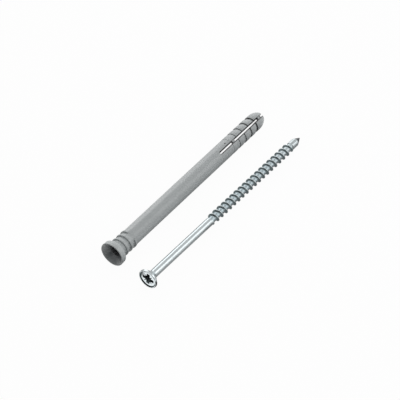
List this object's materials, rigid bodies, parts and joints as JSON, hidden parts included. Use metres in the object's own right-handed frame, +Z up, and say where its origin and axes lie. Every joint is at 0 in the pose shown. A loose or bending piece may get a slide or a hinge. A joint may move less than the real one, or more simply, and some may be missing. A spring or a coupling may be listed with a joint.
{
  "type": "hammer fixing plug",
  "caption": "Grey nylon hammer fixing sleeve with countersunk collar and slotted, barbed expansion end, lying beside its zinc-plated cross-recess hammer screw.",
  "frame": {"origin": "on the surface that the two pieces lie on, under the middle of the box round both", "axes": "+Y along the sleeve from its collar to its tip, +Z up, the screw on the +X side of the sleeve"},
  "size_m": [0.0292, 0.1056, 0.0112],
  "materials": {
    "nylon": "satin moulded nylon, light cool grey",
    "zinc_steel": "bright zinc plate, slightly blue"
  },
  "bodies": {
    "root": {"plug_sleeve": "nylon", "hammer_screw": "zinc_steel"}
  },
  "joints": []
}
